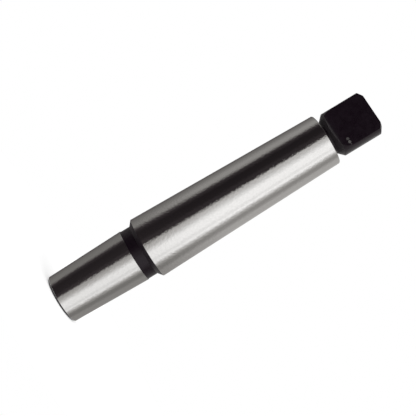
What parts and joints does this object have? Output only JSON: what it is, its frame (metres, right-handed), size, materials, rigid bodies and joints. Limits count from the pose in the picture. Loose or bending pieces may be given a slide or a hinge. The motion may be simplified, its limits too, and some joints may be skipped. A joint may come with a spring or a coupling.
{
  "type": "drill chuck arbor",
  "caption": "Drill chuck arbor with a long ground spindle taper and a flat tang at one end, and a short chuck taper at the other.",
  "frame": {"origin": "centre of the chuck end's flat face, which is the arbor's lowest point", "axes": "+Z runs along the arbor's axis from the chuck taper to the tang, and the tang's two flats face +Y and -Y"},
  "size_m": [0.024, 0.024, 0.1346],
  "materials": {
    "arbor_steel": "cylindrically ground bright on both tapers, black oxide on the band, shoulder, neck and tang"
  },
  "bodies": {
    "root": {"arbor": "arbor_steel"}
  },
  "joints": []
}
